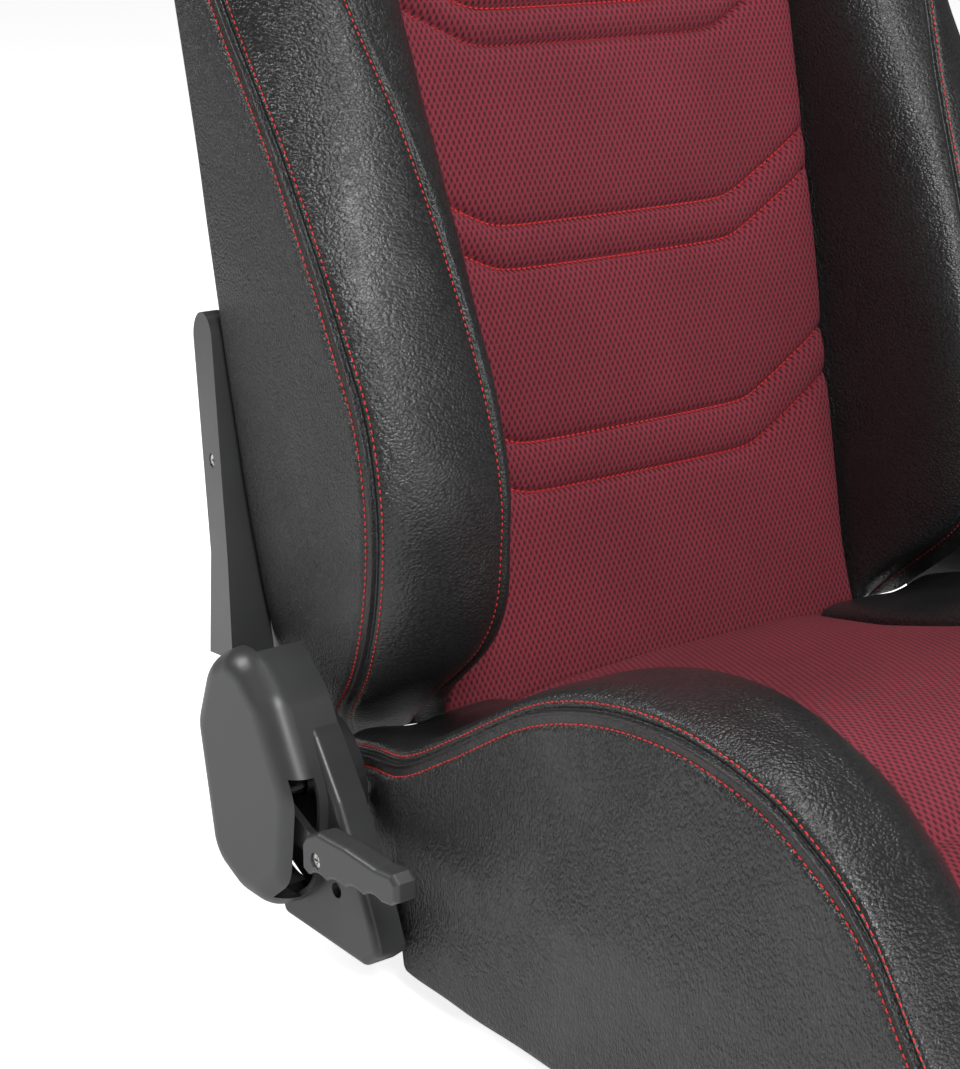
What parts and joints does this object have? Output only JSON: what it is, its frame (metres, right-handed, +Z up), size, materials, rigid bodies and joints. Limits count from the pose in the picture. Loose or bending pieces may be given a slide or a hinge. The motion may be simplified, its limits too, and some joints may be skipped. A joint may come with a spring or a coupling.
{
  "type": "racing seat",
  "caption": "Reclining racing seat with deep cushion and backrest bolsters, fabric centre panels, disc recliners with a lift lever, harness slots and a rear shell.",
  "frame": {"origin": "centre of the four floor bolts, on the underside of the base rails", "axes": "+Z up, the seat faces -Y, +X is the occupant's left"},
  "size_m": [0.576, 0.7101, 0.8964],
  "materials": {
    "frame_paint": "satin black powder coat",
    "bright_steel": "zinc-plated steel",
    "cover_plastic": "charcoal moulded plastic, fine satin grain",
    "shell_plastic": "black moulded plastic, fine texture",
    "black_leather": "black grained leather with red twin stitching",
    "red_fabric": "maroon woven fabric with sewn channels"
  },
  "bodies": {
    "seat_base": {"base_rail_left": "frame_paint", "base_rail_right": "frame_paint", "cover_screws": "bright_steel", "cushion_bolster_left": "black_leather", "cushion_bolster_right": "black_leather", "cushion_centre": "red_fabric", "cushion_springs": "bright_steel", "front_cross_tube": "frame_paint", "rear_cross_tube": "frame_paint", "recliner_cover_left": "cover_plastic", "recliner_cover_right": "cover_plastic", "recliner_guide_left": "bright_steel", "recliner_guide_right": "bright_steel", "side_plate_bolts": "bright_steel", "side_plate_left": "frame_paint", "side_plate_right": "frame_paint", "weld_nuts": "bright_steel"},
    "backrest": {"arm_bolts": "bright_steel", "arm_cover_left": "cover_plastic", "arm_cover_right": "cover_plastic", "arm_cover_screws": "bright_steel", "back_cross_tube": "frame_paint", "back_frame": "frame_paint", "back_springs": "bright_steel", "backrest_bolster_left": "black_leather", "backrest_bolster_right": "black_leather", "backrest_centre": "red_fabric", "harness_bezel_left": "shell_plastic", "harness_bezel_right": "shell_plastic", "head_pad": "black_leather", "rear_shell": "shell_plastic", "recliner_arm_left": "frame_paint", "recliner_arm_right": "frame_paint", "recliner_ring_left": "bright_steel", "recliner_ring_right": "bright_steel"},
    "recline_lever": {"lever_handle": "cover_plastic", "lever_plate": "bright_steel", "lever_screw": "bright_steel", "release_shaft": "bright_steel"},
    "pawl_left_upper": {"pawl_left_upper": "bright_steel"},
    "pawl_left_lower": {"pawl_left_lower": "bright_steel"},
    "pawl_right_upper": {"pawl_right_upper": "bright_steel"},
    "pawl_right_lower": {"pawl_right_lower": "bright_steel"}
  },
  "joints": [
    {"name": "recline", "type": "hinge", "parent": "seat_base", "child": "backrest", "pos_m": [0, 0.192, 0.094], "axis": [-1, 0, 0], "range_deg": [-4, 40]},
    {"name": "lever_lift", "type": "hinge", "parent": "seat_base", "child": "recline_lever", "pos_m": [0, 0.192, 0.094], "axis": [-1, 0, 0], "range_deg": [0, 18]},
    {"name": "pawl_left_upper_pull", "type": "slide", "parent": "seat_base", "child": "pawl_left_upper", "axis": [0, 0, -1], "range_m": [0, 0.00185]},
    {"name": "pawl_left_lower_pull", "type": "slide", "parent": "seat_base", "child": "pawl_left_lower", "axis": [0, 0, 1], "range_m": [0, 0.00185]},
    {"name": "pawl_right_upper_pull", "type": "slide", "parent": "seat_base", "child": "pawl_right_upper", "axis": [0, 0, -1], "range_m": [0, 0.00185]},
    {"name": "pawl_right_lower_pull", "type": "slide", "parent": "seat_base", "child": "pawl_right_lower", "axis": [0, 0, 1], "range_m": [0, 0.00185]}
  ],
  "couplings": [
    {"joint": "pawl_left_upper_pull", "follows": "lever_lift", "m_per_rad": 0.00573},
    {"joint": "pawl_left_lower_pull", "follows": "lever_lift", "m_per_rad": 0.00573},
    {"joint": "pawl_right_upper_pull", "follows": "lever_lift", "m_per_rad": 0.00573},
    {"joint": "pawl_right_lower_pull", "follows": "lever_lift", "m_per_rad": 0.00573}
  ]
}
